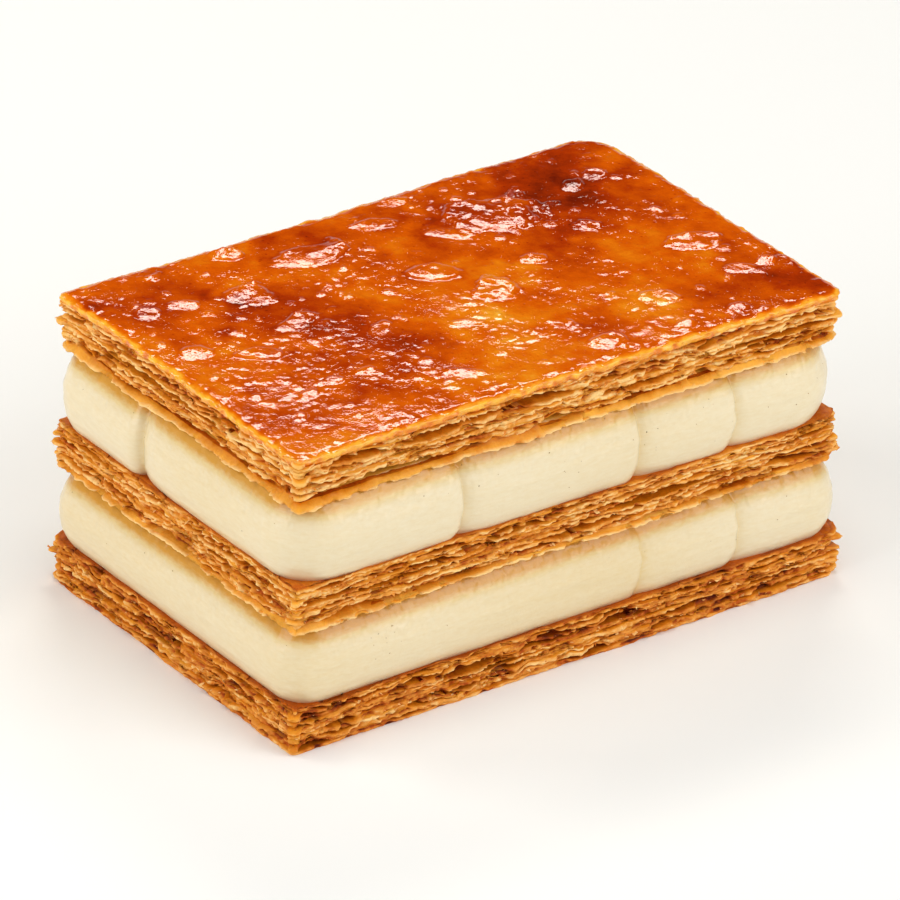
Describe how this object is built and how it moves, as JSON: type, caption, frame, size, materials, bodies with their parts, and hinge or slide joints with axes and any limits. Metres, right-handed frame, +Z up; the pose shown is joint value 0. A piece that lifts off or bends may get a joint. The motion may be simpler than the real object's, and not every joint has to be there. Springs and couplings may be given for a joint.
{
  "type": "mille feuille slice",
  "caption": "Rectangular pastry slice: flaky puff pastry sheets with thick bands of vanilla cream between them and a glossy glazed top.",
  "frame": {"origin": "centre of the slice in plan, on the flat underside of the bottom pastry, which is what it rests on", "axes": "+X along the slice's length, +Y across its width, +Z up through the layers"},
  "size_m": [0.1016, 0.0656, 0.0482],
  "materials": {
    "pastry_bottom": "matte",
    "cream_lower": "satin",
    "pastry_middle": "matte",
    "cream_upper": "satin",
    "pastry_top": "gloss"
  },
  "bodies": {
    "root": {"pastry_bottom": "pastry_bottom", "cream_lower": "cream_lower", "pastry_middle": "pastry_middle", "cream_upper": "cream_upper", "pastry_top": "pastry_top"}
  },
  "joints": []
}
